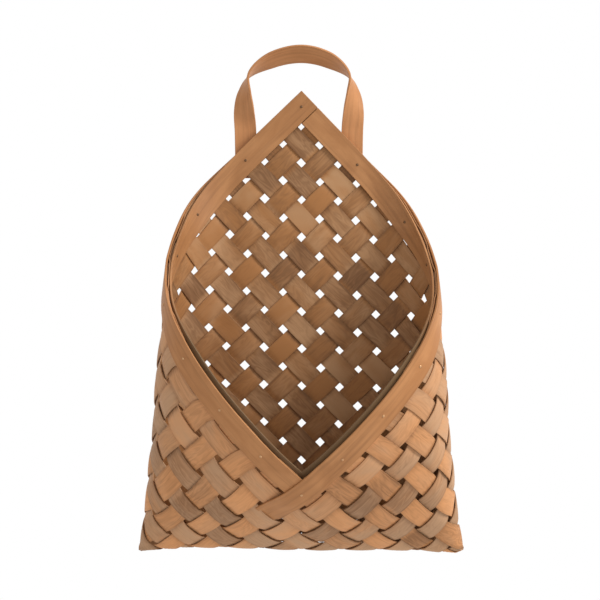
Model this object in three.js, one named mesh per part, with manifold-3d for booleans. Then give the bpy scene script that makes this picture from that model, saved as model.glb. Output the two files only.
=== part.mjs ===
// Hanging envelope basket of thin wood strips, plaited on the bias into a flat pouch.
// The pouch is one seamless tube, closed by the fold of its strips at the bottom.
// Two pairs of wood bands clamp its cut edge, and a bent strap nailed behind them hangs it on a hook.
import * as THREE from 'three';
import { mergeVertices } from 'three/addons/utils/BufferGeometryUtils.js';
import Module from 'manifold-3d';

const wasm = await Module();
wasm.setup();

// Driving sizes, in millimetres where nothing else is said

// Woven strips
const STRIP_WIDTH = 18.5;
const STRIP_GAP = 4.5; // open hole between neighbouring strips
const STRIP_THICKNESS = 0.9;
const WEAVE_CLEARANCE = 0.4; // air between two strips where they cross
const STRIPS_PER_LEAN = 9; // strips that lean right, and as many that lean left
const PEAK_ROW = 24; // row of crossings at the peak, counted up from the bottom fold

// Pouch
const FOLD_RADIUS = 5.6; // bottom fold
const SIDE_RADIUS = 56; // rounding of the side edges high above the fold
const SIDE_RISE = 134; // height over which the sides round out
const SIDE_GROWTH = 1.3; // power by which they start to round
const BELLY_ANGLE = 56; // degrees, slope of the bowed front where it meets the sides, at the peak's height
const BELLY_GROWTH = 0.8; // power of the height by which the front bows out
const CORNER_DROP = 4; // how far the bottom corners hang below the middle
const CORNER_FADE = 60; // height over which that drop fades out
const SIDE_SAG = 4; // how far the right side of the weave hangs down and the left side rides up
const SAG_RISE = 16; // height over which that sag sets in

// Rim bands
const RIM_WIDTH = 20;
const RIM_THICKNESS = 1.8;
const SEAT_CLEARANCE = 0.3; // air between pieces that lie on each other
const BUTT_GAP = 0.5; // air between a band's end and the band that it meets
const RIM_TAIL = 22; // how far the right outer band runs on past the front crossing

// Handle strap
const HANDLE_WIDTH = 19;
const HANDLE_THICKNESS = 2;
const HANDLE_RISE = 93.5; // middle of the crown above the leg nails
const SHOULDER_RISE = 74; // edge-on shoulder above the leg nails
const SHOULDER_INSET = 3; // shoulder's distance inwards from the leg nail
const LEG_BOW = 1.5; // how far the legs bow outwards
const LEG_TAIL = 13; // length of leg below its nail
const CROWN_TILT = 50; // degrees that the crown leans back from level, front edge up
const LEG_COLUMN = 3; // column of crossings where a leg is nailed

// Nails
const NAIL_SHANK_DIAMETER = 1.4;
const NAIL_HEAD_DIAMETER = 3.2;
const NAIL_HEAD_HEIGHT = 0.8;
const NAIL_HOLE_CLEARANCE = 0.3; // air round the shank
const NAIL_SIDES = 6;

// Derived sizes
const STRIP_PITCH = STRIP_WIDTH + STRIP_GAP;
const CELL = STRIP_PITCH / Math.SQRT2; // step between columns, and between rows, of the lattice
const SIDE_COLUMN = STRIPS_PER_LEAN;
const FRONT_COLUMN = 2 * STRIPS_PER_LEAN;
const HALF_GIRTH = FRONT_COLUMN * CELL;
const PEAK_CLIMB = PEAK_ROW * CELL;
const STRIP_REACH = STRIP_WIDTH / STRIP_PITCH; // half a strip's width in lattice diagonals
const RIM_REACH = RIM_WIDTH / STRIP_PITCH;
const WEAVE_LIFT = (STRIP_THICKNESS + WEAVE_CLEARANCE) / 2;
const WEAVE_HALF = WEAVE_LIFT + STRIP_THICKNESS / 2;
const RIM_LIFT = WEAVE_HALF + SEAT_CLEARANCE + RIM_THICKNESS / 2;
const RIM_FACE = RIM_LIFT + RIM_THICKNESS / 2;
const LEG_LIFT = RIM_FACE + SEAT_CLEARANCE + HANDLE_THICKNESS / 2;
const LEG_FACE = LEG_LIFT + HANDLE_THICKNESS / 2;
const RIGHT_ANGLE = Math.PI / 2;

// Pouch surface
// A place on the pouch is a column, counted round from the back's middle to the front's,
// and a row, counted up from the bottom fold. Rows below zero run up the other side of the fold.

// Half of a level section through the pouch at a climb along its wall: the back is straight,
// an arc rounds the side, and a wider arc bows the front. The girth is the same at every level.
function sectionPoint(girth, climb) {
  const foldTurn = Math.min(climb / FOLD_RADIUS, RIGHT_ANGLE);
  const foldHalfGap = FOLD_RADIUS * Math.sin(foldTurn);
  const radius = foldHalfGap + (SIDE_RADIUS - FOLD_RADIUS) * Math.tanh(climb / SIDE_RISE) ** SIDE_GROWTH;
  const slope = THREE.MathUtils.degToRad(BELLY_ANGLE) * (climb / PEAK_CLIMB) ** BELLY_GROWTH;
  const bow = Math.max(slope, 1e-4);
  const frontRadius = (HALF_GIRTH - radius * (Math.PI - bow - Math.sin(bow))) / (bow + Math.sin(bow));
  const flat = (frontRadius - radius) * Math.sin(bow);
  const sideEnd = flat + radius * (Math.PI - bow);
  const setBack = FOLD_RADIUS - foldHalfGap;
  if (girth <= flat) {
    return { across: girth, depth: setBack };
  }
  if (girth < sideEnd) {
    const turn = (girth - flat) / radius;
    return { across: flat + radius * Math.sin(turn), depth: setBack + radius * (1 - Math.cos(turn)) };
  }
  const turn = (HALF_GIRTH - girth) / frontRadius;
  const reach = radius * (1 + Math.cos(bow)) + frontRadius * (Math.cos(turn) - Math.cos(bow));
  return { across: frontRadius * Math.sin(turn), depth: setBack + reach };
}

// Height gained along the wall: what the climb has left once it has gone sideways and forwards.
function wallHeight(girth, climb) {
  const stepLength = 2;
  const steps = Math.max(1, Math.ceil(climb / stepLength));
  let height = 0;
  let below = sectionPoint(girth, 0);
  for (let i = 1; i <= steps; i += 1) {
    const here = sectionPoint(girth, climb * i / steps);
    const spent = (here.across - below.across) ** 2 + (here.depth - below.depth) ** 2;
    height += Math.sqrt(Math.max(0, (climb / steps) ** 2 - spent));
    below = here;
  }
  return height;
}

function wallPoint(column, row) {
  if (row < 0) {
    return wallPoint((column < 0 ? -FRONT_COLUMN : FRONT_COLUMN) - column, -row);
  }
  if (Math.abs(column) > FRONT_COLUMN) {
    return wallPoint(column - 2 * FRONT_COLUMN * Math.sign(column), row);
  }
  const girth = Math.abs(column) * CELL;
  const climb = row * CELL;
  const { across, depth } = sectionPoint(girth, climb);
  const fade = Math.max(0, 1 - climb / CORNER_FADE) ** 2;
  const drop = CORNER_DROP * fade * (across / (SIDE_COLUMN * CELL)) ** 4;
  const sag = SIDE_SAG * Math.sin(Math.PI * column / FRONT_COLUMN) * climb / (climb + SAG_RISE);
  return new THREE.Vector3(Math.sign(column) * across, -depth, wallHeight(girth, climb) - drop - sag);
}

// A place on the pouch with the direction that points out of it
function wallPlace(column, row) {
  const step = 0.04;
  const alongColumn = wallPoint(column + step, row).sub(wallPoint(column - step, row));
  const alongRow = wallPoint(column, row + step).sub(wallPoint(column, row - step));
  return { point: wallPoint(column, row), out: alongRow.cross(alongColumn).normalize() };
}

// Strips run along the lattice's diagonals: rise is row plus column, and lean is row minus column.
// Side is 1, or -1 to count the columns to the left, for the mirror image of a piece.
function diagonalPlace(rise, lean, side) {
  return wallPlace(side * (rise - lean) / 2, (rise + lean) / 2);
}

function lifted(place, lift) {
  return place.point.clone().addScaledVector(place.out, lift);
}

// Solids

function solidGeometry(positions, triangles) {
  const geometry = new THREE.BufferGeometry();
  geometry.setAttribute('position', new THREE.Float32BufferAttribute(positions, 3));
  geometry.setIndex(triangles);
  geometry.computeVertexNormals();
  return geometry;
}

// A closed ribbon through rings of four corners: left outer, right outer, right inner, left inner.
// Each face between two rings is creased along the diagonal that stands further out.
function ribbonGeometry(rings) {
  const positions = rings.flatMap((ring) => ring.corners.flatMap((corner) => corner.toArray()));
  const triangles = [0, 1, 2, 0, 2, 3];
  for (let i = 0; i + 1 < rings.length; i += 1) {
    const near = rings[i];
    const far = rings[i + 1];
    const leftwards = near.right.clone().add(far.left);
    const rightwards = near.left.clone().add(far.right);
    const creaseLeft = leftwards.sub(rightwards).dot(near.out) >= -1e-3;
    for (let edge = 0; edge < 4; edge += 1) {
      const a = 4 * i + edge;
      const b = 4 * i + (edge + 1) % 4;
      const aFar = a + 4;
      const bFar = b + 4;
      const firstDiagonal = edge === 2 ? !creaseLeft : creaseLeft;
      if (firstDiagonal) {
        triangles.push(a, aFar, b, b, aFar, bFar);
      } else {
        triangles.push(a, aFar, bFar, a, bFar, b);
      }
    }
  }
  const last = 4 * (rings.length - 1);
  triangles.push(last, last + 2, last + 1, last, last + 3, last + 2);
  return solidGeometry(positions, triangles);
}

// One ring of a ribbon that lies on the pouch, between two places on its edges
function ribbonRing(edgePlaces, side, lift, thickness) {
  const [leftPlace, rightPlace] = side > 0 ? edgePlaces : edgePlaces.toReversed();
  const outer = lift + thickness / 2;
  const inner = lift - thickness / 2;
  return {
    left: leftPlace.point,
    right: rightPlace.point,
    out: leftPlace.out.clone().add(rightPlace.out).normalize(),
    corners: [
      lifted(leftPlace, outer),
      lifted(rightPlace, outer),
      lifted(rightPlace, inner),
      lifted(leftPlace, inner),
    ],
  };
}

function asManifold(geometry) {
  const bare = geometry.clone();
  bare.deleteAttribute('normal');
  bare.deleteAttribute('uv');
  const merged = mergeVertices(bare);
  return new wasm.Manifold(new wasm.Mesh({
    numProp: 3,
    vertProperties: Float32Array.from(merged.getAttribute('position').array),
    triVerts: Uint32Array.from(merged.getIndex().array),
  }));
}

function drilled(geometry, drills) {
  let solid = asManifold(geometry);
  for (const drill of drills) {
    solid = solid.subtract(asManifold(drill));
  }
  const mesh = solid.getMesh();
  return solidGeometry(Array.from(mesh.vertProperties), Array.from(mesh.triVerts));
}

// Woven strips
// A right-leaning strip keeps one lean. It starts at the rim, runs down the front and round the
// bottom fold at its own column, and climbs to the rim again. It passes outside the strips that it
// meets on even rows and inside on odd ones. A left-leaning strip is its mirror image, and passes
// the other way.
// The two strips that close a bottom corner meet twice round it without changing sides.
function passesOutside(column, row, outsideOnEvenRows) {
  const isCorner = Math.abs(column) === SIDE_COLUMN && Math.abs(row) === 1;
  return (row % 2 === 0 || isCorner) === outsideOnEvenRows;
}

function stripGeometry(foldColumn, side) {
  const outsideOnEvenRows = side > 0;
  const lean = -foldColumn;
  const endsOnFront = foldColumn > PEAK_ROW - FRONT_COLUMN;
  const lowRise = endsOnFront ? FRONT_COLUMN - PEAK_ROW : -FRONT_COLUMN - PEAK_ROW;
  const rings = [];
  for (let rise = lowRise; rise <= PEAK_ROW; rise += 2) {
    const outside = passesOutside((rise - lean) / 2, (rise + lean) / 2, outsideOnEvenRows);
    const lift = outside ? WEAVE_LIFT : -WEAVE_LIFT;
    for (const end of [rise - STRIP_REACH, rise + STRIP_REACH]) {
      const edges = [lean + STRIP_REACH, lean - STRIP_REACH].map((edge) => diagonalPlace(end, edge, side));
      rings.push(ribbonRing(edges, side, lift, STRIP_THICKNESS));
    }
  }
  return ribbonGeometry(rings);
}

// Rim bands
// A right-hand band keeps the rise of the edge strip that it covers. It runs from the peak down the
// back's edge, round the side and down the front to the crossing at the front's middle.
function bandGeometry(topLean, endLean, lift, side) {
  const leans = [topLean];
  for (let lean = PEAK_ROW; lean > endLean - 2; lean -= 2) {
    for (const edge of [lean + STRIP_REACH, lean - STRIP_REACH]) {
      if (edge < topLean - STRIP_REACH / 4 && edge > endLean + STRIP_REACH / 4) {
        leans.push(edge);
      }
    }
  }
  leans.push(endLean);
  const rings = leans.map((lean) => {
    const edges = [PEAK_ROW + RIM_REACH, PEAK_ROW - RIM_REACH].map((edge) => diagonalPlace(edge, lean, side));
    return ribbonRing(edges, side, lift, RIM_THICKNESS);
  });
  return ribbonGeometry(rings);
}

const FRONT_LEAN = PEAK_ROW - 2 * FRONT_COLUMN; // lean at the crossing of the bands on the front
const BUTT_REACH = RIM_REACH + 2 * BUTT_GAP / STRIP_PITCH;
const TAIL_REACH = RIM_REACH + 2 * RIM_TAIL / STRIP_PITCH;

const bandSolids = {
  rim_outer_right: bandGeometry(PEAK_ROW + RIM_REACH, FRONT_LEAN - TAIL_REACH, RIM_LIFT, 1),
  rim_outer_left: bandGeometry(PEAK_ROW - BUTT_REACH, FRONT_LEAN + BUTT_REACH, RIM_LIFT, -1),
  rim_inner_right: bandGeometry(PEAK_ROW - BUTT_REACH, FRONT_LEAN + BUTT_REACH, -RIM_LIFT, 1),
  rim_inner_left: bandGeometry(PEAK_ROW + RIM_REACH, FRONT_LEAN - RIM_REACH, -RIM_LIFT, -1),
};

const stripSolids = {};
for (let i = 0; i < STRIPS_PER_LEAN; i += 1) {
  const foldColumn = 2 * i + 1 - STRIPS_PER_LEAN;
  const number = String(i + 1).padStart(2, '0');
  stripSolids[`strip_right_${number}`] = stripGeometry(foldColumn, 1);
  stripSolids[`strip_left_${number}`] = stripGeometry(foldColumn, -1);
}

// Handle strap
// The legs lie flat behind the outer bands. The strap turns about its rear edge, so nothing stands
// behind the legs. It is edge-on at its shoulders and goes on turning, so the crown shows its inner
// face with the front edge up.
const legX = LEG_COLUMN * CELL;
const legRow = PEAK_ROW - LEG_COLUMN;
const legHeight = (wallPoint(-LEG_COLUMN, legRow).z + wallPoint(LEG_COLUMN, legRow).z) / 2;

function handleGeometry() {
  const crownTurn = 90 + CROWN_TILT;
  const crownDrop = HANDLE_RISE - SHOULDER_RISE;
  const legFlat = (RIM_WIDTH / 2 + STRIP_GAP) * Math.SQRT2 + HANDLE_WIDTH / 2;
  const rightHalf = [
    { out: 0, up: -LEG_TAIL, turn: 0 },
    { out: 0, up: 0, turn: 0 },
    { out: LEG_BOW / 3, up: legFlat, turn: 0 },
    { out: LEG_BOW, up: (2 * legFlat + SHOULDER_RISE) / 3, turn: 20 },
    { out: LEG_BOW * 0.8, up: (legFlat + 2 * SHOULDER_RISE) / 3, turn: 52 },
    { out: -SHOULDER_INSET, up: SHOULDER_RISE, turn: 90 },
    { out: -legX * 0.46, up: HANDLE_RISE - crownDrop * 0.3, turn: 90 + CROWN_TILT * 0.8 },
  ];
  const place = ({ out, up, turn }, side) => {
    const point = new THREE.Vector3(side * (legX + out), 0, legHeight + up);
    return { point, turn };
  };
  const crown = place({ out: -legX, up: HANDLE_RISE, turn: crownTurn }, 1);
  const left = rightHalf.map((knot) => place(knot, -1));
  const right = rightHalf.map((knot) => place(knot, 1)).reverse();
  const knots = [...left, crown, ...right];
  const path = new THREE.CatmullRomCurve3(knots.map((knot) => knot.point), false, 'centripetal');
  const turns = new THREE.CatmullRomCurve3(knots.map((knot) => new THREE.Vector3(knot.turn, 0, 0)));
  const steps = 33;
  const rings = [];
  for (let i = 0; i <= steps; i += 1) {
    const along = i / steps;
    const tangent = path.getTangent(along);
    const turn = THREE.MathUtils.degToRad(Math.max(0, turns.getPoint(along).x));
    const forward = HANDLE_WIDTH / 2 * Math.sin(Math.min(turn, RIGHT_ANGLE));
    const point = path.getPoint(along).setY(LEG_LIFT - forward);
    const inward = new THREE.Vector3(tangent.z, 0, -tangent.x);
    const front = new THREE.Vector3(0, -1, 0);
    const width = inward.multiplyScalar(Math.cos(turn)).addScaledVector(front, Math.sin(turn));
    const face = tangent.cross(width);
    const half = width.multiplyScalar(HANDLE_WIDTH / 2);
    const depth = face.normalize().multiplyScalar(HANDLE_THICKNESS / 2);
    rings.push({
      left: point.clone().sub(half),
      right: point.clone().add(half),
      out: face.clone(),
      corners: [
        point.clone().sub(half).add(depth),
        point.clone().add(half).add(depth),
        point.clone().add(half).sub(depth),
        point.clone().sub(half).sub(depth),
      ],
    });
  }
  return { geometry: ribbonGeometry(rings), rings };
}

const handle = handleGeometry();

// Middle of the crown's inner face, where a hook or peg bears
const crownRing = handle.rings[(handle.rings.length - 1) / 2 - 0.5];
const hookSeat = crownRing.corners[0].clone().add(crownRing.corners[1]).multiplyScalar(0.5).setX(0);

// Nails
// Each nail goes through a band, the edge strips and the band behind. The heads show on the inner
// bands along the back and on the outer bands along the front. The leg nails reach on into the strap.
const nails = [];

function addNail(name, column, reachesLeg) {
  const { point, out } = wallPlace(column, PEAK_ROW - Math.abs(column));
  const headOutside = Math.abs(column) > SIDE_COLUMN;
  const drive = headOutside ? out.clone().negate() : out.clone();
  const tip = reachesLeg ? LEG_FACE : RIM_FACE;
  nails.push({ name, point, drive, tip });
}

addNail('nail_peak', 0, false);
addNail('nail_front', FRONT_COLUMN, false);
for (const [side, sign] of [['left', -1], ['right', 1]]) {
  addNail(`nail_handle_${side}`, sign * LEG_COLUMN, true);
  for (let column = 2 * LEG_COLUMN; column < FRONT_COLUMN; column += 2) {
    addNail(`nail_${side}_${String(column).padStart(2, '0')}`, sign * column, false);
  }
}

function alongNail(geometry, nail) {
  const up = new THREE.Vector3(0, 1, 0);
  geometry.applyQuaternion(new THREE.Quaternion().setFromUnitVectors(up, nail.drive));
  return geometry.translate(nail.point.x, nail.point.y, nail.point.z);
}

function nailGeometry(nail) {
  const seat = -RIM_FACE - SEAT_CLEARANCE;
  const shank = NAIL_SHANK_DIAMETER / 2;
  const head = NAIL_HEAD_DIAMETER / 2;
  const profile = [
    new THREE.Vector2(0, seat - NAIL_HEAD_HEIGHT),
    new THREE.Vector2(head * 0.7, seat - NAIL_HEAD_HEIGHT * 0.8),
    new THREE.Vector2(head, seat - NAIL_HEAD_HEIGHT * 0.3),
    new THREE.Vector2(head, seat),
    new THREE.Vector2(shank, seat),
    new THREE.Vector2(shank, nail.tip),
    new THREE.Vector2(0, nail.tip),
  ];
  return alongNail(new THREE.LatheGeometry(profile, NAIL_SIDES), nail);
}

function drillGeometry(nail) {
  const radius = NAIL_SHANK_DIAMETER / 2 + NAIL_HOLE_CLEARANCE;
  const length = 2 * (LEG_FACE + RIM_THICKNESS);
  return alongNail(new THREE.CylinderGeometry(radius, radius, length, NAIL_SIDES), nail);
}

const drills = nails.map(drillGeometry);

// Assembly
// The origin is the hook seat, with the front towards -Y and up along +Z.
const basket = new THREE.Group();
basket.name = 'hanging_envelope_basket';
basket.position.copy(hookSeat).negate();

function addPiece(name, geometry, color, roughness, metalness) {
  const mesh = new THREE.Mesh(geometry, new THREE.MeshStandardMaterial({ color, roughness, metalness }));
  mesh.name = name;
  basket.add(mesh);
}

for (const [name, geometry] of Object.entries(stripSolids)) {
  addPiece(name, drilled(geometry, drills), name.includes('right') ? '#a87b55' : '#9a6f4b', 0.72, 0);
}
for (const [name, geometry] of Object.entries(bandSolids)) {
  addPiece(name, drilled(geometry, drills), '#b0794c', 0.6, 0);
}
addPiece('handle_strap', drilled(handle.geometry, drills), '#b47f55', 0.6, 0);
for (const nail of nails) {
  addPiece(nail.name, nailGeometry(nail), '#b08a62', 0.45, 0.8);
}

const model = new THREE.Group();
model.add(basket);

export default model;
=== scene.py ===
# Hanging envelope basket of plaited wood splint, seen square from the front against white.
import math
import random

import bmesh
import bpy
from mathutils import Matrix, Vector


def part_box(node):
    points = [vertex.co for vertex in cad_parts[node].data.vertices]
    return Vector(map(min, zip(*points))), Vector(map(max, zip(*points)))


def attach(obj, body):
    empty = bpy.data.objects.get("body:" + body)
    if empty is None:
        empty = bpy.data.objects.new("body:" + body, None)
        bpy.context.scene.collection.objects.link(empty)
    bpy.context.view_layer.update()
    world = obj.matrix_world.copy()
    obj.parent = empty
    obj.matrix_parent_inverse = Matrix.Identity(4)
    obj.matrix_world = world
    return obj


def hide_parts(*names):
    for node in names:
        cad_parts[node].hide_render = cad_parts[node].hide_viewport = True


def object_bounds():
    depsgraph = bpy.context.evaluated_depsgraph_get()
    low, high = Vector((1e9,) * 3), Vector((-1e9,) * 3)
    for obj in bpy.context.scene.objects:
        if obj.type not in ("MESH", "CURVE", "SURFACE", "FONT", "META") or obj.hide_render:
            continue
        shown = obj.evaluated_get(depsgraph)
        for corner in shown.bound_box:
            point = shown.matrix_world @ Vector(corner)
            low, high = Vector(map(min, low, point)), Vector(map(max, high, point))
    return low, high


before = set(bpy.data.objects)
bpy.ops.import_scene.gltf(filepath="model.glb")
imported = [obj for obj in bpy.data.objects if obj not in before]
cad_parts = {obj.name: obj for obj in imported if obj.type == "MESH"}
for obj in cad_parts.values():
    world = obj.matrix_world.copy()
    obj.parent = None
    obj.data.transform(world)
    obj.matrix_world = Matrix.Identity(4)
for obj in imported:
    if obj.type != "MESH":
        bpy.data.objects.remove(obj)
cad_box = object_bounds()

# Camera
# A long lens stands level with the middle of the basket and looks square at its back.
CAMERA_PLACE = Vector((-0.0013, -1.2251, -0.2126))
VIEW_ANGLE = 24.1  # degrees across the square picture

camera_data = bpy.data.cameras.new("camera")
camera_data.sensor_fit = "HORIZONTAL"
camera_data.angle = math.radians(VIEW_ANGLE)
camera = bpy.data.objects.new("camera", camera_data)
camera.matrix_world = Matrix.Translation(CAMERA_PLACE) @ Matrix.Rotation(math.pi / 2, 4, "X")
bpy.context.scene.collection.objects.link(camera)
bpy.context.scene.camera = camera

# Pouch
# The basket is a tube of diagonal plaiting, folded flat at the bottom, with a straight back and a
# front that bows out. A place on it is a column, counted round from the back's middle, and a row of
# crossings, counted up from the fold. Rows below zero run up the other side of the fold.
MM = 0.001
STRIP_WIDTH = 18.5 * MM
HOLE_WIDTH = 4.5 * MM
STRIP_PITCH = STRIP_WIDTH + HOLE_WIDTH
CELL = STRIP_PITCH / math.sqrt(2)  # one column's width and one row's height
SIDE_COLUMN = 9
FRONT_COLUMN = 2 * SIDE_COLUMN
PEAK_ROW = 24
HALF_GIRTH = FRONT_COLUMN * CELL
PEAK_CLIMB = PEAK_ROW * CELL
FOLD_RADIUS = 5.6 * MM  # half of the gap between the walls at the fold
SIDE_RADIUS = 56 * MM  # the rounded sides grow towards it with the climb
SIDE_RISE = 134 * MM
SIDE_GROWTH = 1.3
BELLY_BOW = math.radians(56)  # half angle of the front's arc at the peak's height
BELLY_GROWTH = 0.8
LEAST_BOW = 1e-4
CORNER_DROP = 4 * MM  # how far the fold hangs down at its corners
CORNER_FADE = 60 * MM
FOLD_ARCH = 7.5 * MM  # how far the fold rises between the corners
ARCH_LOSS = 0.5  # share of that rise that is missing at the corners
FOLD_FADE = 18 * MM
SIDE_SAG = 4 * MM  # the right side of the weave hangs lower and the left side rides up
SAG_RISE = 16 * MM
SETTLED = (  # mm below the hook, and the share by which the hanging basket is wider there
    (110, 0), (155, -0.036), (225, 0), (275, 0.02), (340, 0), (400, -0.024))


def smooth_between(value, low, high):
    share = min(1.0, max(0.0, (value - low) / (high - low)))
    return share * share * (3 - 2 * share)


def level_section(girth, climb):
    """Half of a level section: how far across and how far forwards the wall is at a girth."""
    fold_half_gap = FOLD_RADIUS * math.sin(min(climb / FOLD_RADIUS, math.pi / 2))
    growth = math.tanh(climb / SIDE_RISE) ** SIDE_GROWTH
    radius = fold_half_gap + (SIDE_RADIUS - FOLD_RADIUS) * growth
    bow = max(BELLY_BOW * (climb / PEAK_CLIMB) ** BELLY_GROWTH, LEAST_BOW)
    front_radius = (HALF_GIRTH - radius * (math.pi - bow - math.sin(bow))) / (bow + math.sin(bow))
    flat = (front_radius - radius) * math.sin(bow)
    set_back = FOLD_RADIUS - fold_half_gap
    if girth <= flat:
        return girth, set_back
    if girth < flat + radius * (math.pi - bow):
        turn = (girth - flat) / radius
        return flat + radius * math.sin(turn), set_back + radius * (1 - math.cos(turn))
    turn = (HALF_GIRTH - girth) / front_radius
    reach = radius * (1 + math.cos(bow)) + front_radius * (math.cos(turn) - math.cos(bow))
    return front_radius * math.sin(turn), set_back + reach


# Heights on the wall, added up once along each column: a step of climb gains what it has left after
# it has gone sideways and forwards.
STEPS_PER_COLUMN = 4
GIRTH_STEP = CELL / STEPS_PER_COLUMN
CLIMB_STEP = 2 * MM
TOP_CLIMB = 1.1 * PEAK_CLIMB
wall_heights = []
for girth_count in range(STEPS_PER_COLUMN * FRONT_COLUMN + 1):
    heights = [0.0]
    below = level_section(girth_count * GIRTH_STEP, 0)
    for climb_count in range(1, int(TOP_CLIMB / CLIMB_STEP) + 2):
        here = level_section(girth_count * GIRTH_STEP, climb_count * CLIMB_STEP)
        spent = (here[0] - below[0]) ** 2 + (here[1] - below[1]) ** 2
        heights.append(heights[-1] + math.sqrt(max(0.0, CLIMB_STEP ** 2 - spent)))
        below = here
    wall_heights.append(heights)


def wall_height(girth, climb):
    """Height above the fold, read between the four nearest of the heights added up."""
    girth_at = min(girth / GIRTH_STEP, len(wall_heights) - 1.001)
    climb_at = climb / CLIMB_STEP
    g, c = int(girth_at), int(climb_at)
    near, far = wall_heights[g], wall_heights[g + 1]
    near_height = near[c] + (near[c + 1] - near[c]) * (climb_at - c)
    far_height = far[c] + (far[c + 1] - far[c]) * (climb_at - c)
    return near_height + (far_height - near_height) * (girth_at - g)


def counted_up(column, row):
    """The same place with its row above the fold and its column within half a round."""
    if row < 0:
        column, row = math.copysign(FRONT_COLUMN, column) - column, -row
    if abs(column) > FRONT_COLUMN:
        column -= math.copysign(2 * FRONT_COLUMN, column)
    return column, row


def wall_point(column, row):
    """A point of the wall, with the fold at height zero and the back's middle at depth zero."""
    column, row = counted_up(column, row)
    girth, climb = abs(column) * CELL, row * CELL
    across, depth = level_section(girth, climb)
    fade = max(0.0, 1 - climb / CORNER_FADE) ** 2
    corner = (across / (SIDE_COLUMN * CELL)) ** 4
    drop = CORNER_DROP * fade * corner
    drop -= FOLD_ARCH * (1 - smooth_between(climb, 0, FOLD_FADE)) * (1 - ARCH_LOSS * corner)
    drop += SIDE_SAG * math.sin(math.pi * column / FRONT_COLUMN) * climb / (climb + SAG_RISE)
    return Vector((math.copysign(across, column), -depth, wall_height(girth, climb) - drop))


# The frame's origin is the hook seat on the handle. The nail at the peak and the rear face of the
# handle's legs say where the pouch hangs below it.
LEG_FACE = 5.5 * MM  # rear of the legs behind the middle of the back's weave
peak_low, peak_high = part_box("nail_peak")
hang = Vector((0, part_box("handle_strap")[1].y - LEG_FACE, (peak_low.z + peak_high.z) / 2))
hang.z -= wall_point(0, PEAK_ROW).z


def settled_width(height):
    """The hanging basket's width at a height, as a share of the regular pouch's."""
    return 1 + sum(
        (far - near) * smooth_between(-height, high * MM, low * MM)
        for (high, near), (low, far) in zip(SETTLED, SETTLED[1:]))


def wall_place(rise, lean, lift, side=1):
    """A point over the pouch at a rise (row plus column) and a lean (row minus column).

    With a side of -1 the columns count to the left, for a piece's mirror image.
    """
    column, row = side * (rise - lean) / 2, (rise + lean) / 2
    step = 0.04  # of a column or row, to find which way the wall faces
    along_column = wall_point(column + step, row) - wall_point(column - step, row)
    along_row = wall_point(column, row + step) - wall_point(column, row - step)
    point = wall_point(column, row) + along_row.cross(along_column).normalized() * lift + hang
    point.x *= settled_width(point.z)
    return point


# Woven strips
# Each strip is one long piece of thin sawn splint. It starts at the rim, runs down, goes round the
# bottom fold and climbs to the rim again, over one strip and under the next all the way.
STRIPS_PER_LEAN = 9
STRIP_THICKNESS = 0.9 * MM
STRIP_REACH = STRIP_WIDTH / STRIP_PITCH  # half a strip's width, counted in rise or lean
CLAMPED_LIFT = 0.65 * MM  # strip's middle off the wall where the rim bands clamp the weave
BACK_LIFT = 0.85 * MM
FRONT_LIFT = 1.5 * MM
BOWED_COLUMNS = (SIDE_COLUMN - 3, SIDE_COLUMN + 2)  # where the back's lift turns into the front's
LOOSE_ROWS = (1, 4)  # rows below the rim over which the weave comes loose from the clamp
EDGE_SHARE = 0.5  # share of the lift that is left at a crossing's edge
EDGE_LIFT = 0.49 * MM  # least lift there, so that strips clear each other
CUP = 0.12 * MM  # how far a strip's middle stands above its edges
WANDER = 0.35 * MM  # how far a strip strays sideways
BENDS = (3, 6)  # fewest and most half waves along a strip
BEND_STARTS = (0, 6)
TRIMMED = (0.93, 0.96)  # least and greatest width of a strip, as a share of the usual one
CLOSING = 0.04  # share by which the strips widen near the fold
CLOSING_ROWS = (2, 5)  # in full up to the first row, and not at all from the second
END_REACH = 0.6  # how far a strip's ends reach past the rim's middle, counted in rise
EASED_OUT = 0.236  # columns by which the front's weave has eased outwards
EASED_DOWN = 0.47  # rows by which it has sunk low on the belly
BELLY_ROWS = 6  # rows of the belly
EASED_UP = 0.11  # rows for each further row by which it rides up on the left
RIDING_ROW = 5  # row above which it does
BACK_SUNK = 0.17  # rows by which the back's lowest row of crossings has sunk
BACK_COLUMNS = (SIDE_COLUMN - 4, SIDE_COLUMN)  # where that fades towards a side
TUCKED_STRIP = 5  # strip that passes over the tail of the right outer rim band
TUCKED_CROSSING = (-2, -4)
TUCKED_LIFT = 2.4 * MM
ALONG_STEPS = 10  # faces along a strip for each crossing
ACROSS_STEPS = 8
STRIP_ROUNDING = 0.16 * MM
ROUNDING_SEGMENTS = 2
ROUNDED_ANGLE = math.radians(50)  # edges sharper than this are rounded
PAINTED_EDGE_SHADE = 0.2  # painted shade along a strip's cut edges, where it meets the strips beside it


def passes_outside(column, row, outside_on_even_rows):
    is_corner = abs(column) == SIDE_COLUMN and abs(row) == 1
    return (row % 2 == 0 or is_corner) == outside_on_even_rows


def crossing_lift(column, row):
    """Lift at a crossing: small under the rim bands, larger on the bowed front."""
    column, row = counted_up(column, row)
    bowed = smooth_between(abs(column), *BOWED_COLUMNS)
    loose = smooth_between(PEAK_ROW - row - abs(column), *LOOSE_ROWS)
    loose_lift = BACK_LIFT + (FRONT_LIFT - BACK_LIFT) * bowed
    return CLAMPED_LIFT + (loose_lift - CLAMPED_LIFT) * loose


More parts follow.
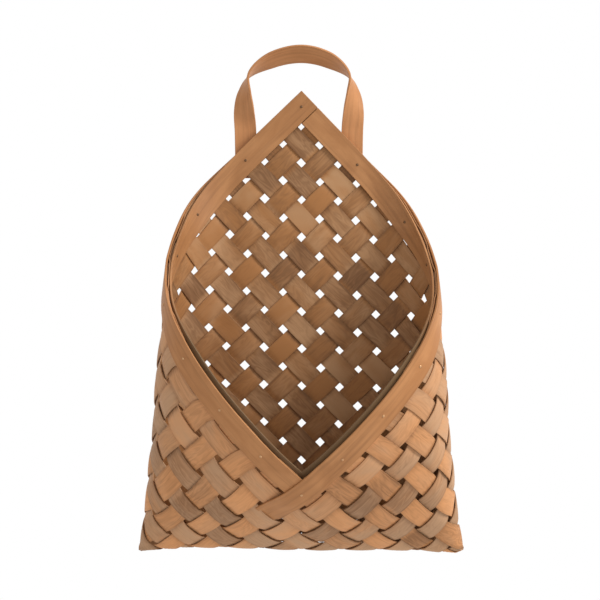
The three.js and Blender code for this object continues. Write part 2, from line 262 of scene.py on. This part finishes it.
def strip_lift(rise, lean, outside_on_even_rows, tucks_tail):
    """A strip bulges over each crossing and comes through the weave midway to the next."""
    crossing = 2 * round(rise / 2)
    beyond = crossing + (2 if rise > crossing else -2)
    column, row = (crossing - lean) / 2, (crossing + lean) / 2
    next_column, next_row = (beyond - lean) / 2, (beyond + lean) / 2
    outside = passes_outside(column, row, outside_on_even_rows)
    changes = outside != passes_outside(next_column, next_row, outside_on_even_rows)
    lift = crossing_lift(column, row)
    edge_lift = max(EDGE_LIFT, EDGE_SHARE * lift)
    if tucks_tail and (column, row) == TUCKED_CROSSING:
        lift = TUCKED_LIFT
    offset = abs(rise - crossing)
    if offset <= STRIP_REACH or not changes:
        share = min(1.0, offset / STRIP_REACH)
        lift += (edge_lift - lift) * share * share
    else:
        lift = edge_lift * math.cos(math.pi / 2 * (offset - STRIP_REACH) / (1 - STRIP_REACH))
    return lift if outside else -lift


def eased(column, row):
    """Where a place of the regular lattice lies once the weave has eased.

    The loose front has moved by most, and the back only in its lowest row.
    """
    column, row = counted_up(column, row)
    across = math.copysign(FRONT_COLUMN - abs(column), column)
    free = smooth_between(SIDE_COLUMN + 0.5 - abs(across), 0, 3)
    free *= smooth_between(PEAK_ROW + 0.5 - row - abs(column), 0, 2.5)
    across += free * EASED_OUT * math.sin(math.pi * across / SIDE_COLUMN)
    row -= free * EASED_DOWN * math.sin(math.pi * min(row, BELLY_ROWS) / BELLY_ROWS)
    row += free * EASED_UP * max(0, row - RIDING_ROW) * smooth_between(-across, 0, 2)
    sunk = BACK_SUNK * (1 - smooth_between(abs(column), *BACK_COLUMNS))
    row -= sunk * smooth_between(row, 0, 1) * (1 - smooth_between(row, 1, 2))
    return math.copysign(FRONT_COLUMN - abs(across), column), row


def ribbon_mesh(name, along_steps, across_steps, length, width, place, flip, tone_at=None):
    """A grid laid along a ribbon. Its grain map counts metres along and across.

    place gives a point for a share along (0 to 1) and across (-1 to 1). tone_at gives the three
    numbers of the ribbon's tone for the same shares.
    """
    ribbon = bmesh.new()
    bmesh.ops.create_grid(ribbon, x_segments=along_steps, y_segments=across_steps, size=1)
    if tone_at:
        tone = ribbon.verts.layers.float_color.new("tone")
        for vertex in ribbon.verts:
            vertex[tone] = (*tone_at((vertex.co.x + 1) / 2, vertex.co.y), 1)
    grain = ribbon.loops.layers.uv.new("grain")
    grain_start = draw.uniform(0, 9)
    for face in ribbon.faces:
        for corner in face.loops:
            x, y, _ = corner.vert.co
            corner[grain].uv = (grain_start + (x + 1) / 2 * length, grain_start + y / 2 * width)
        face.smooth = True
    for vertex in ribbon.verts:
        vertex.co = place((vertex.co.x + 1) / 2, vertex.co.y)
    if flip:
        bmesh.ops.reverse_faces(ribbon, faces=ribbon.faces[:])
    mesh = bpy.data.meshes.new(name)
    ribbon.to_mesh(mesh)
    ribbon.free()
    return mesh


def finish_ribbon(mesh, thickness, rounding, materials):
    """Gives a ribbon its thickness and rounded edges. A second material goes on its inner face."""
    piece = bpy.data.objects.new(mesh.name, mesh)
    bpy.context.scene.collection.objects.link(piece)
    for material in materials:
        mesh.materials.append(material)
    solid = piece.modifiers.new("thickness", "SOLIDIFY")
    solid.thickness = thickness
    solid.offset = 0
    solid.material_offset = len(materials) - 1
    edges = piece.modifiers.new("rounded edges", "BEVEL")
    edges.width = rounding
    edges.segments = ROUNDING_SEGMENTS
    edges.limit_method = "ANGLE"
    edges.angle_limit = ROUNDED_ANGLE
    edges.harden_normals = True
    return piece


class Wire:
    """An output socket in a material's nodes. Arithmetic on it adds Math nodes."""

    def __init__(self, tree, socket=None):
        self.tree = tree
        self.socket = socket

    def node(self, kind, settings, inputs, output=0):
        made = self.tree.nodes.new(kind)
        for name, value in settings.items():
            setattr(made, name, value)
        for name, value in inputs.items():
            if isinstance(value, Wire):
                self.tree.links.new(value.socket, made.inputs[name])
            else:
                made.inputs[name].default_value = value
        return Wire(self.tree, made.outputs[output] if made.outputs else None)

    def math(self, operation, first, second):
        return self.node("ShaderNodeMath", {"operation": operation}, {0: first, 1: second})

    def __add__(self, other):
        return self.math("ADD", self, other)

    def __radd__(self, other):
        return self.math("ADD", other, self)

    def __sub__(self, other):
        return self.math("SUBTRACT", self, other)

    def __rsub__(self, other):
        return self.math("SUBTRACT", other, self)

    def __mul__(self, other):
        return self.math("MULTIPLY", self, other)

    def __rmul__(self, other):
        return self.math("MULTIPLY", other, self)

    def clamped(self, low, high):
        """Eased from 0 at a low value to 1 at a high one."""
        return self.node("ShaderNodeMapRange", {"interpolation_type": "SMOOTHSTEP"},
                         {"Value": self, "From Min": low, "From Max": high})

    def mixed(self, first, second):
        """From one colour to another by this share."""
        return self.node("ShaderNodeMix", {"data_type": "RGBA"}, {0: self, 6: first, 7: second}, 2)


def new_finish(name):
    material = bpy.data.materials.new(name)
    material.use_nodes = True
    material.node_tree.nodes.clear()
    return material, Wire(material.node_tree)


def grain_noise(start, along, across, detail, roughness=0.6, distortion=0.0):
    """Noise drawn out along the grain: along and across are its features in each metre."""
    grain = start.node("ShaderNodeUVMap", {"uv_map": "grain"}, {})
    stretched = start.node(
        "ShaderNodeVectorMath", {"operation": "MULTIPLY"}, {0: grain, 1: (along, across, 1)})
    pattern = {"Vector": stretched, "Scale": 1.0}
    pattern |= {"Detail": detail, "Roughness": roughness, "Distortion": distortion}
    return start.node("ShaderNodeTexNoise", {}, pattern)


WOOD_SHEEN = 0.25
BUMP_STRENGTH = 0.6


def close_finish(start, color, roughness, bump_height, bump_depth):
    """Ends a wood's nodes with its surface."""
    bump = {"Height": bump_height, "Strength": BUMP_STRENGTH, "Distance": bump_depth}
    normal = start.node("ShaderNodeBump", {}, bump)
    surface = {"Base Color": color, "Roughness": roughness, "Normal": normal}
    surface |= {"Specular IOR Level": WOOD_SHEEN}
    shader = start.node("ShaderNodeBsdfPrincipled", {}, surface)
    start.node("ShaderNodeOutputMaterial", {}, {"Surface": shader})


# Painted sheen: the grey colours stand for the sheen that the grain throws back on some strips, and
# the warm ones for the splint without it.
WARM_OUTSIDE = (0.68, 0.316, 0.13, 1)
SHEEN_GREY_OUTSIDE = (0.485, 0.284, 0.158, 1)
# The inside colours are darker than the outside ones, partly the splint's own darker inner face and
# partly painted shade of the pouch's recessed inside.
SHADED_WARM_INSIDE = (0.365, 0.161, 0.054, 1)
SHADED_SHEEN_GREY_INSIDE = (0.455, 0.256, 0.127, 1)
DARK_SPLINT = (0.17, 0.078, 0.032, 1)
FIGURE_LINES = 40  # how closely the curved lines of the wood's figure follow each other
OUTSIDE_CONTRAST = 1.0
INSIDE_CONTRAST = 1.6
SPLINT_BUMP = 0.1 * MM


def splint_finish(name, face, warm, sheen_grey, contrast):
    """Thin sawn splint. The strip's tone attribute says how warm each face is, with its grey end
    standing for painted sheen, and how dark, with painted shade along the cut edges.
    """
    material, start = new_finish(name)
    tone = start.node("ShaderNodeAttribute", {"attribute_name": "tone"}, {}, "Color")
    warmth = start.node("ShaderNodeSeparateColor", {}, {"Color": tone}, face)
    shade = start.node("ShaderNodeSeparateColor", {}, {"Color": tone}, "Blue")
    clouds = grain_noise(start, along=22, across=60, detail=2, roughness=0.5, distortion=0.5)
    rings = grain_noise(start, along=30, across=110, detail=2, roughness=0.5, distortion=0.8)
    streaks = grain_noise(start, along=16, across=620, detail=4, distortion=0.3)
    fibres = grain_noise(start, along=60, across=2400, detail=3)
    figure = start.math("SINE", rings * FIGURE_LINES, 0) * 0.5 + 0.5
    # A low warmth mixes towards the grey of the painted sheen.
    wood = (warmth + (clouds - 0.5) * 1.2).clamped(0, 1).mixed(sheen_grey, warm)
    # The shade channel holds random tone and the painted shade along the cut edges; contrast
    # strengthens both on the inside.
    darker = (shade + (clouds - 0.5) * 0.4 + figure * 0.14) * contrast
    darker = darker + streaks.clamped(0.4, 0.8) * 0.2 + fibres.clamped(0.45, 0.8) * 0.12
    color = darker.clamped(-0.2, 1).mixed(wood, DARK_SPLINT)
    close_finish(start, color, 0.55 + streaks * 0.15, streaks * 0.5 + fibres * 0.5, SPLINT_BUMP)
    return material


splint_outside = splint_finish(
    "splint_outside", "Red", WARM_OUTSIDE, SHEEN_GREY_OUTSIDE, OUTSIDE_CONTRAST)
# The inner faces' finish holds painted shade in its darker colours.
splint_inside_with_painted_shade = splint_finish(
    "splint_inside_with_painted_shade", "Green", SHADED_WARM_INSIDE, SHADED_SHEEN_GREY_INSIDE, INSIDE_CONTRAST)

# Each strip has an average warmth and shade, and each of its crossings strays from them at random.
# The warmth also carries painted sheen: the outside is grey on the first strips and warm on the
# last, and the inside is greyer on strips that lean left, where the grain throws back the lamp's
# sheen.
SHEEN_STRIP_WARMTH = 0.15
CLEAR_STRIP_WARMTH = 0.8
SHEEN_FADING_STRIPS = (4, 7.5)  # strips between which the outside's painted sheen fades from grey to warm
# Painted sheen on the inside: strips that lean left are greyer there.
SHEENED_LEFT_INSIDE = 0.45
RIGHT_INSIDE = 0.8
STRIP_STRAYS = 0.1
OUTSIDE_STRAYS = 0.15
INSIDE_STRAYS = 0.35
STRIP_SHADES = 0.06
CROSSING_SHADES = 0.15
TONE_CHANGE = (0.42, 0.58)  # between two crossings, as a share of the way
EDGE_SHARPNESS = 8
draw = random.Random(11)


def strip_piece(name, index, leans_left):
    """One strip. Those that lean left are mirror images of those that lean right."""
    fold_column = 2 * index + 1 - STRIPS_PER_LEAN
    lean = -fold_column
    runs_up_front = fold_column > PEAK_ROW - FRONT_COLUMN
    low_rise = FRONT_COLUMN - PEAK_ROW if runs_up_front else -FRONT_COLUMN - PEAK_ROW
    first, last = low_rise - END_REACH, PEAK_ROW + END_REACH
    crossings = (last - first) / 2
    reach = STRIP_REACH * draw.uniform(*TRIMMED)
    bends = draw.uniform(*BENDS)
    bend_start = draw.uniform(*BEND_STARTS)
    tucks_tail = index == TUCKED_STRIP and not leans_left
    side = -1 if leans_left else 1

    def place(along, across):
        rise = first + (last - first) * along
        stray = 2 * WANDER / STRIP_PITCH * math.sin(bend_start + bends * math.pi * along)
        lift = strip_lift(rise, lean, not leans_left, tucks_tail) + CUP * (1 - across * across)
        from_fold = abs(rise + lean) / 2
        width = 1 + CLOSING * (1 - smooth_between(from_fold, *CLOSING_ROWS))
        strand = lean + stray + reach * width * across
        column, row = eased(side * (rise - strand) / 2, (rise + strand) / 2)
        return wall_place(row + column, row - column, lift)

    warmer = smooth_between(index, *SHEEN_FADING_STRIPS)
    outside_warmth = SHEEN_STRIP_WARMTH + (CLEAR_STRIP_WARMTH - SHEEN_STRIP_WARMTH) * warmer
    outside_warmth += draw.uniform(-STRIP_STRAYS, STRIP_STRAYS)
    inside_warmth = SHEENED_LEFT_INSIDE if leans_left else RIGHT_INSIDE
    inside_warmth += draw.uniform(-STRIP_STRAYS, STRIP_STRAYS)
    shade = draw.uniform(-STRIP_SHADES, STRIP_SHADES)
    tones = []
    for crossing in range(round(crossings) + 3):
        warm_outside = outside_warmth + draw.uniform(-OUTSIDE_STRAYS, OUTSIDE_STRAYS)
        warm_inside = inside_warmth + draw.uniform(-INSIDE_STRAYS, INSIDE_STRAYS)
        tones.append(Vector((warm_outside, warm_inside, shade + draw.gauss(0, CROSSING_SHADES))))

    def tone_at(along, across):
        """A crossing's own tone, which changes where the strip goes through the weave, plus painted
        shade towards the cut edges.
        """
        at = 1 + along * crossings - END_REACH / 2
        crossing = int(at)
        changed = smooth_between(at - crossing, *TONE_CHANGE)
        tone = tones[crossing].lerp(tones[crossing + 1], changed)
        return tone + Vector((0, 0, PAINTED_EDGE_SHADE * abs(across) ** EDGE_SHARPNESS))

    mesh = ribbon_mesh(name, round(ALONG_STEPS * crossings), ACROSS_STEPS, crossings * STRIP_PITCH,
                       STRIP_WIDTH, place, not leans_left, tone_at)
    return finish_ribbon(mesh, STRIP_THICKNESS, STRIP_ROUNDING, [splint_outside, splint_inside_with_painted_shade])


for leans_left in (False, True):
    lean_name = "left" if leans_left else "right"
    for index in range(STRIPS_PER_LEAN):
        strip = strip_piece(f"splint_{lean_name}_{index + 1:02d}", index, leans_left)
        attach(strip, "root")
        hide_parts(f"strip_{lean_name}_{index + 1:02d}")

# Rim bands
# Two bands of thicker splint clamp the cut edge of the weave on each side, one inside and one
# outside. On the front the right outer band crosses over the left one, and its tail is tucked in.
RIM_WIDTH = 20 * MM
RIM_REACH = RIM_WIDTH / STRIP_PITCH  # half a band's width, counted in rise
RIM_THICKNESS = 1.8 * MM
RIM_LIFT = 2.3 * MM
RIM_ROUNDING = 0.45 * MM
FRONT_STEP = 2 * 3 * MM / STRIP_PITCH  # inner bands stand 3 mm above the outer ones on the front
SIDE_STEP = 2 * 1.6 * MM / STRIP_PITCH  # and sit 1.6 mm below them at the sides
BUTT_REACH = RIM_REACH + 2 * 0.5 * MM / STRIP_PITCH  # a band that butts stops 0.5 mm short
FRONT_LEAN = PEAK_ROW - 2 * FRONT_COLUMN  # where the outer bands cross on the front
CROSSING_RISE = 1.95 * MM  # how far the right outer band climbs over the left one
TAIL_LEAN = FRONT_LEAN - 3.95
TAIL_LIFT = 0.75 * MM
# Painted shade on the inner bands, as a share towards its colour: a little all along, and in full
# on the front where they stand above the outer ones.
INNER_PAINTED_SHADE = 0.15
BAND_BUMP = 0.08 * MM
WARM_BAND = (0.4, 0.175, 0.064, 1)
PALE_BAND = (0.5, 0.233, 0.092, 1)
DARK_BAND = (0.2, 0.084, 0.033, 1)
BAND_PAINTED_SHADE_COLOR = (0.17, 0.1, 0.048, 1)


def band_finish(name, pale, warm, dark):
    """Thicker splint, planed smooth and stained warm. The tone attribute says how much painted
    shade it gets.
    """
    material, start = new_finish(name)
    patches = grain_noise(start, along=26, across=60, detail=3, roughness=0.5, distortion=0.6)
    streaks = grain_noise(start, along=10, across=300, detail=3, roughness=0.55, distortion=0.4)
    fibres = grain_noise(start, along=60, across=2600, detail=3)
    wood = patches.clamped(0.3, 0.72).mixed(warm, pale)
    darker = streaks.clamped(0.42, 0.8) * 0.4 + fibres.clamped(0.45, 0.8) * 0.2
    tone = start.node("ShaderNodeAttribute", {"attribute_name": "tone"}, {}, "Color")
    painted_band_shade = start.node("ShaderNodeSeparateColor", {}, {"Color": tone}, "Red")
    # Painted shade: the tone darkens the inner bands towards the shade colour.
    color = painted_band_shade.mixed(darker.mixed(wood, dark), BAND_PAINTED_SHADE_COLOR)
    close_finish(start, color, 0.42 + streaks * 0.15, streaks * 0.4 + fibres * 0.6, BAND_BUMP)
    return material


band_wood = band_finish("band_wood", PALE_BAND, WARM_BAND, DARK_BAND)


def over_crossing(lean):
    """Lift of the right outer band: over the left one at the front, then down under a strip."""
    climb = smooth_between(lean, FRONT_LEAN + 2.6, FRONT_LEAN + RIM_REACH)
    fall = smooth_between(lean, FRONT_LEAN - RIM_REACH * 0.8, TAIL_LEAN + 0.5)
    return (RIM_LIFT + CROSSING_RISE * climb) * (1 - fall) + TAIL_LIFT * fall


def stays_outside(lean):
    return RIM_LIFT


def stays_inside(lean):
    return -RIM_LIFT


def band_piece(name, top_lean, end_lean, lift_at, is_left):
    """One band from its top to its end. lift_at says how far off the wall it lies."""
    is_inner = lift_at is stays_inside

    def past_side(column):
        return smooth_between(column, SIDE_COLUMN, SIDE_COLUMN + 3)

    def tone_at(along, across):
        """Painted shade: an inner band is a little darker all along, and much darker where it
        stands above the outer one.
        """
        column = (PEAK_ROW - top_lean - (end_lean - top_lean) * along) / 2
        painted_band_shade = INNER_PAINTED_SHADE + (1 - INNER_PAINTED_SHADE) * past_side(column)
        return (painted_band_shade if is_inner else 0, 0, 0)

    def place(along, across):
        lean = top_lean + (end_lean - top_lean) * along
        rise = PEAK_ROW + RIM_REACH * across
        if is_inner:
            column = (PEAK_ROW - lean) / 2
            rise -= SIDE_STEP * smooth_between(column, 2, 6) * (1 - past_side(column))
            rise += FRONT_STEP * smooth_between(column, SIDE_COLUMN, SIDE_COLUMN + 4)
        return wall_place(rise, lean, lift_at(lean), -1 if is_left else 1)

    crossings = (top_lean - end_lean) / 2
    mesh = ribbon_mesh(name, round(ALONG_STEPS * crossings), ACROSS_STEPS, crossings * STRIP_PITCH,
                       RIM_WIDTH, place, is_left, tone_at)
    return finish_ribbon(mesh, RIM_THICKNESS, RIM_ROUNDING, [band_wood])


bands = {
    "rim_outer_right": (PEAK_ROW + RIM_REACH, TAIL_LEAN, over_crossing, False),
    "rim_outer_left": (PEAK_ROW - BUTT_REACH, FRONT_LEAN - RIM_REACH * 0.6, stays_outside, True),
    "rim_inner_right": (PEAK_ROW - BUTT_REACH, FRONT_LEAN + BUTT_REACH, stays_inside, False),
    "rim_inner_left": (PEAK_ROW + RIM_REACH, FRONT_LEAN - RIM_REACH, stays_inside, True),
}
for node_name, (top_lean, end_lean, lift_at, is_left) in bands.items():
    band = band_piece(node_name.replace("rim", "band"), top_lean, end_lean, lift_at, is_left)
    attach(band, "root")
    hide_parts(node_name)

# Handle strap
# One flat strap of bent wood. Its legs are nailed behind the outer bands, and it twists edge-on at
# the shoulders, so the crown shows its inner face with the front edge up.
HANDLE_WIDTH = 19 * MM
HANDLE_THICKNESS = 2 * MM
HANDLE_ROUNDING = 0.5 * MM
STRAP_LENGTH = 340 * MM  # for the grain
STRAP_STEPS = 180
LEG_COLUMN = 3
LEG_END = 13 * MM  # how far the legs reach below their nails
LEG_LIFT = LEG_FACE - HANDLE_THICKNESS / 2
CROWN_RISE = 94.6 * MM  # middle of the crown above the leg nails
SHOULDER_RISE = 76 * MM
FLAT_RISE = 30 * MM  # the legs lie flat up to here
LEG_BOW = 1.5 * MM
CROWN_TILT = 43  # degrees by which the crown's front edge stands up
LOPSIDED = 4.5 * MM  # how much nearer the middle the right leg stands
LEG_X = LEG_COLUMN * CELL
PALE_STRAP = (0.545, 0.252, 0.104, 1)
WARM_STRAP = (0.472, 0.206, 0.079, 1)
leg_spots = [wall_point(column, PEAK_ROW - LEG_COLUMN) for column in (-LEG_COLUMN, LEG_COLUMN)]
nail_height = (leg_spots[0].z + leg_spots[1].z) / 2

# Half of the strap's middle line: how far across, how far above the nails, and degrees of twist.
half_strap = [
    (LEG_X, -LEG_END, 0),
    (LEG_X, 0, 0),
    (LEG_X + LEG_BOW / 3, FLAT_RISE, 0),
    (LEG_X + LEG_BOW, (2 * FLAT_RISE + SHOULDER_RISE) / 3, 20),
    (LEG_X + LEG_BOW * 0.8, (FLAT_RISE + 2 * SHOULDER_RISE) / 3, 52),
    (LEG_X - 3 * MM, SHOULDER_RISE, 90),
    (LEG_X * 0.54, CROWN_RISE - (CROWN_RISE - SHOULDER_RISE) * 0.3, 90 + CROWN_TILT * 0.8),
]
crown = (0, CROWN_RISE, 90 + CROWN_TILT)
strap_knots = [(-x, z, turn) for x, z, turn in half_strap] + [crown] + half_strap[::-1]


def smooth_through(points, along):
    """A centripetal Catmull-Rom curve through points."""
    at = along * (len(points) - 1)
    i = min(int(at), len(points) - 2)
    near, far = points[i], points[i + 1]
    before = points[i - 1] if i > 0 else near * 2 - far
    after = points[i + 2] if i + 2 < len(points) else far * 2 - near
    middle = (far - near).length ** 0.5 or 1.0
    first = (near - before).length ** 0.5 or middle
    last = (after - far).length ** 0.5 or middle
    course = (far - near) / middle
    leave = ((near - before) / first - (far - before) / (first + middle) + course) * middle
    arrive = (course - (after - near) / (middle + last) + (after - far) / last) * middle
    t = at - i
    return (near + leave * t + (near * -3 + far * 3 - leave * 2 - arrive) * t ** 2
            + (near * 2 - far * 2 + leave + arrive) * t ** 3)


strap_path = [Vector((x - LOPSIDED * max(0, x) / LEG_X, z)) for x, z, turn in strap_knots]
strap_turns = [Vector((turn, 0)) for x, z, turn in strap_knots]


def strap_place(along, across):
    step = 0.001  # of the strap, to find which way it runs
    beyond = smooth_through(strap_path, min(1, along + step))
    ahead = (beyond - smooth_through(strap_path, max(0, along - step))).normalized()
    turn = math.radians(max(0.0, smooth_through(strap_turns, along).x))
    x, z = smooth_through(strap_path, along)
    y = LEG_LIFT - HANDLE_WIDTH / 2 * math.sin(min(turn, math.pi / 2))
    inwards = Vector((ahead.y, 0, -ahead.x))
    width = inwards * math.cos(turn) + Vector((0, -1, 0)) * math.sin(turn)
    return Vector((x, y, nail_height + z)) + width * (HANDLE_WIDTH / 2 * across) + hang


strap_wood = band_finish("strap_wood", PALE_STRAP, WARM_STRAP, DARK_BAND)
strap_mesh = ribbon_mesh("bent_handle", STRAP_STEPS, ACROSS_STEPS, STRAP_LENGTH,
                         HANDLE_WIDTH, strap_place, False)
strap = finish_ribbon(strap_mesh, HANDLE_THICKNESS, HANDLE_ROUNDING, [strap_wood])
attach(strap, "root")
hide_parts("handle_strap")

# Nails
# Small round-headed brass nails hold the bands together, and two of them hold the handle's legs.
# The heads show on the outer bands along the front and, darker, on the inner bands along the back.
NAIL_HEAD_RADIUS = 1.2 * MM
NAIL_HEAD_HEIGHT = 0.7 * MM
NAIL_SHANK_RADIUS = 0.7 * MM
NAIL_SIDES = 16
HEAD_STEP = 15  # degrees between the rings of a domed head
RIM_FACE = RIM_LIFT + RIM_THICKNESS / 2
BRASS = (0.58, 0.34, 0.17, 1)
WORN_BRASS = (0.38, 0.2, 0.09, 1)
OLD_BRASS = (0.17, 0.09, 0.04, 1)
BLACK_BRASS = (0.1, 0.05, 0.024, 1)
BRASS_METALLIC = 0.6
TARNISH_SCALE = 900  # spots in each metre


def nail_finish(name, bright, tarnished):
    """Brass that time has spotted."""
    material, start = new_finish(name)
    coordinates = start.node("ShaderNodeTexCoord", {}, {}, "Object")
    pattern = {"Vector": coordinates, "Scale": TARNISH_SCALE, "Detail": 3}
    tarnish = start.node("ShaderNodeTexNoise", {}, pattern)
    color = tarnish.clamped(0.4, 0.7).mixed(bright, tarnished)
    surface = {"Base Color": color, "Roughness": tarnish * 0.3 + 0.3, "Metallic": BRASS_METALLIC}
    shader = start.node("ShaderNodeBsdfPrincipled", {}, surface)
    start.node("ShaderNodeOutputMaterial", {}, {"Surface": shader})
    return material


bright_brass = nail_finish("bright_brass", BRASS, WORN_BRASS)
dark_brass = nail_finish("dark_brass", OLD_BRASS, BLACK_BRASS)


def nail_piece(name, column, tip, face):
    """A nail whose domed head sits on a band's face, driven through to its tip."""
    row = PEAK_ROW - abs(column)
    on_front = abs(column) > SIDE_COLUMN
    middle = wall_place(row + column, row - column, 0)
    outwards = (wall_place(row + column, row - column, MM) - middle).normalized()
    drive = -outwards if on_front else outwards
    nail = bmesh.new()
    outline = [(0, face + NAIL_HEAD_HEIGHT)]
    for degrees in range(HEAD_STEP, 91, HEAD_STEP):
        angle = math.radians(degrees)
        radius, height = NAIL_HEAD_RADIUS * math.sin(angle), NAIL_HEAD_HEIGHT * math.cos(angle)
        outline.append((radius, face + height))
    outline += [(NAIL_SHANK_RADIUS, face), (NAIL_SHANK_RADIUS, -tip), (0, -tip)]
    corners = [nail.verts.new((radius, 0, height)) for radius, height in outline]
    edges = [nail.edges.new(pair) for pair in zip(corners, corners[1:])]
    bmesh.ops.spin(nail, geom=corners + edges, cent=(0, 0, 0), axis=(0, 0, 1), angle=2 * math.pi,
                   steps=NAIL_SIDES, use_merge=True)
    bmesh.ops.remove_doubles(nail, verts=nail.verts[:], dist=0.01 * MM)
    bmesh.ops.recalc_face_normals(nail, faces=nail.faces[:])
    turn = Vector((0, 0, 1)).rotation_difference(-drive).to_matrix().to_4x4()
    bmesh.ops.transform(nail, matrix=Matrix.Translation(middle) @ turn, verts=nail.verts[:])
    for facet in nail.faces:
        facet.smooth = True
    mesh = bpy.data.meshes.new(name)
    nail.to_mesh(mesh)
    nail.free()
    mesh.materials.append(bright_brass if on_front else dark_brass)
    piece = bpy.data.objects.new(name, mesh)
    bpy.context.scene.collection.objects.link(piece)
    return piece


nails = {
    "nail_peak": (0, RIM_FACE, RIM_FACE),
    "nail_front": (FRONT_COLUMN, RIM_FACE, RIM_FACE + CROSSING_RISE),
}
for side_name, side in (("left", -1), ("right", 1)):
    nails[f"nail_handle_{side_name}"] = (side * LEG_COLUMN, LEG_FACE, RIM_FACE)
    for column in range(2 * LEG_COLUMN, FRONT_COLUMN, 2):
        nails[f"nail_{side_name}_{column:02d}"] = (side * column, RIM_FACE, RIM_FACE)
for node_name, (column, tip, face) in nails.items():
    nail = nail_piece(node_name.replace("nail", "tack"), column, tip, face)
    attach(nail, "root")
    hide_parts(node_name)

# Stage
# A pale floor below the hanging basket fades into a white surround, which lights the basket evenly.
# One soft lamp stands high on the right, so the pouch's right side shades its inside.
FLOOR_DROP = 0.3
FLOOR_RADIUS = 1.1
FLOOR_SIDES = 96
FADE_START = 0.35  # from here to its rim the floor fades
FLOOR_COLOR = (0.86, 0.86, 0.85, 1)
WHITE = (1, 1, 1, 1)
LAMP_PLACE = Vector((1.14, -0.56, 0.62))
LAMP_TARGET = Vector((0, -0.03, -0.2))
LAMP_SIZE = 0.6
LAMP_POWER = 20
AMBIENT_COLOR = (1, 0.98, 0.96, 1)
AMBIENT_STRENGTH = 0.69

floor_shape = bmesh.new()
bmesh.ops.create_circle(floor_shape, cap_ends=True, segments=FLOOR_SIDES, radius=FLOOR_RADIUS)
bmesh.ops.translate(floor_shape, verts=floor_shape.verts[:], vec=(0, 0, cad_box[0][2] - FLOOR_DROP))
floor_mesh = bpy.data.meshes.new("floor")
floor_shape.to_mesh(floor_mesh)
floor_shape.free()
floor = bpy.data.objects.new("floor", floor_mesh)
bpy.context.scene.collection.objects.link(floor)
floor_paint, start = new_finish("floor_paint")
place = start.node("ShaderNodeTexCoord", {}, {}, "Object")
level = start.node("ShaderNodeVectorMath", {"operation": "MULTIPLY"}, {0: place, 1: (1, 1, 0)})
from_middle = start.node("ShaderNodeVectorMath", {"operation": "LENGTH"}, {0: level}, "Value")
matt = start.node("ShaderNodeBsdfDiffuse", {}, {"Color": FLOOR_COLOR})
white = start.node("ShaderNodeEmission", {}, {"Color": WHITE, "Strength": 1.0})
fade = from_middle.clamped(FADE_START, FLOOR_RADIUS)
faded = start.node("ShaderNodeMixShader", {}, {0: fade, 1: matt, 2: white})
start.node("ShaderNodeOutputMaterial", {}, {"Surface": faded})
floor_mesh.materials.append(floor_paint)

lamp_data = bpy.data.lights.new("key_lamp", "AREA")
lamp_data.shape = "DISK"
lamp_data.size = LAMP_SIZE
lamp_data.energy = LAMP_POWER
lamp = bpy.data.objects.new("key_lamp", lamp_data)
lamp.location = LAMP_PLACE
lamp.rotation_euler = (LAMP_TARGET - LAMP_PLACE).to_track_quat("-Z", "Y").to_euler()
bpy.context.scene.collection.objects.link(lamp)

world = bpy.data.worlds.new("surround")
bpy.context.scene.world = world
world.use_nodes = True
world.node_tree.nodes.clear()
start = Wire(world.node_tree)
seen = start.node("ShaderNodeLightPath", {}, {}, "Is Camera Ray")
shone = start.node("ShaderNodeLightPath", {}, {}, "Is Glossy Ray")
passed = start.node("ShaderNodeLightPath", {}, {}, "Is Transmission Ray")
ambient = start.node(
    "ShaderNodeBackground", {}, {"Color": AMBIENT_COLOR, "Strength": AMBIENT_STRENGTH})
white = start.node("ShaderNodeBackground", {}, {"Color": WHITE, "Strength": 1.0})
plain = (seen + shone + passed).clamped(0, 1)
shown = start.node("ShaderNodeMixShader", {}, {0: plain, 1: ambient, 2: white})
start.node("ShaderNodeOutputWorld", {}, {"Surface": shown})
bpy.context.scene.view_settings.view_transform = "Standard"
